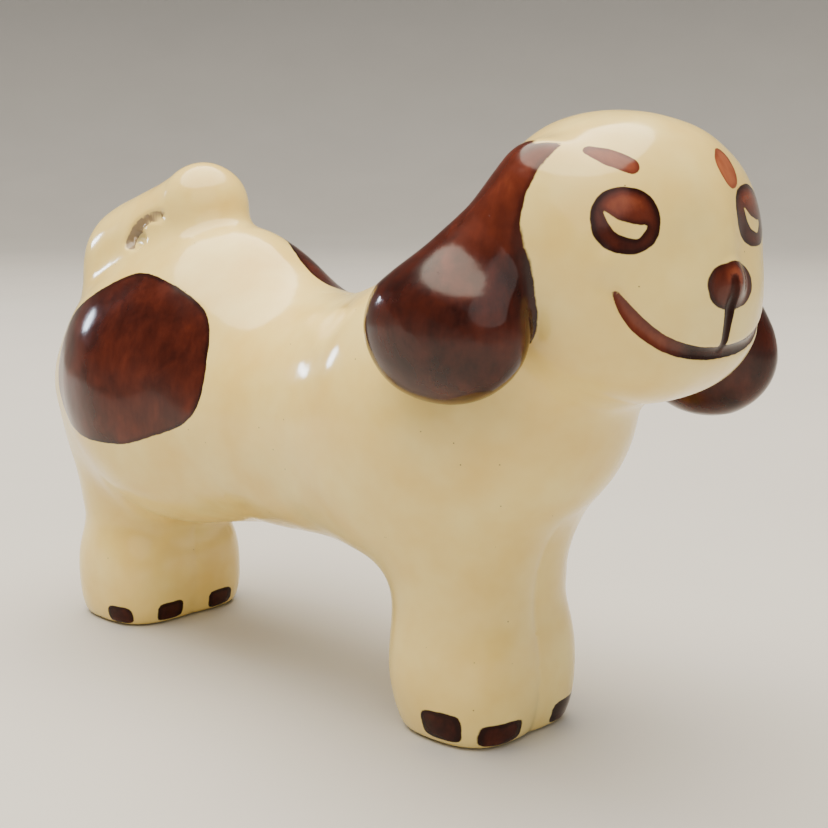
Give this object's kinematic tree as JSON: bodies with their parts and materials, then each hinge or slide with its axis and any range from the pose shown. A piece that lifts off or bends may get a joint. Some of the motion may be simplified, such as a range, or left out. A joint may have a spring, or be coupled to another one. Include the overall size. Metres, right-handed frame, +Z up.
{
  "type": "ceramic dog figurine",
  "caption": "Small hollow glazed ceramic dog standing on its feet, with hanging ears and a tail curled over its back.",
  "frame": {"origin": "centre of the bounding box's base, on the surface that the feet stand on", "axes": "+Z up, the dog faces -Y, and its left side is +X"},
  "size_m": [0.0503, 0.1149, 0.0749],
  "materials": {
    "cream_glaze": "gloss",
    "brown_glaze": "gloss"
  },
  "bodies": {
    "root": {"trunk": "cream_glaze", "head": "cream_glaze", "left_ear": "brown_glaze", "right_ear": "brown_glaze", "tail": "cream_glaze", "left_front_leg": "cream_glaze", "right_front_leg": "cream_glaze", "left_rear_leg": "cream_glaze", "right_rear_leg": "cream_glaze"}
  },
  "joints": []
}
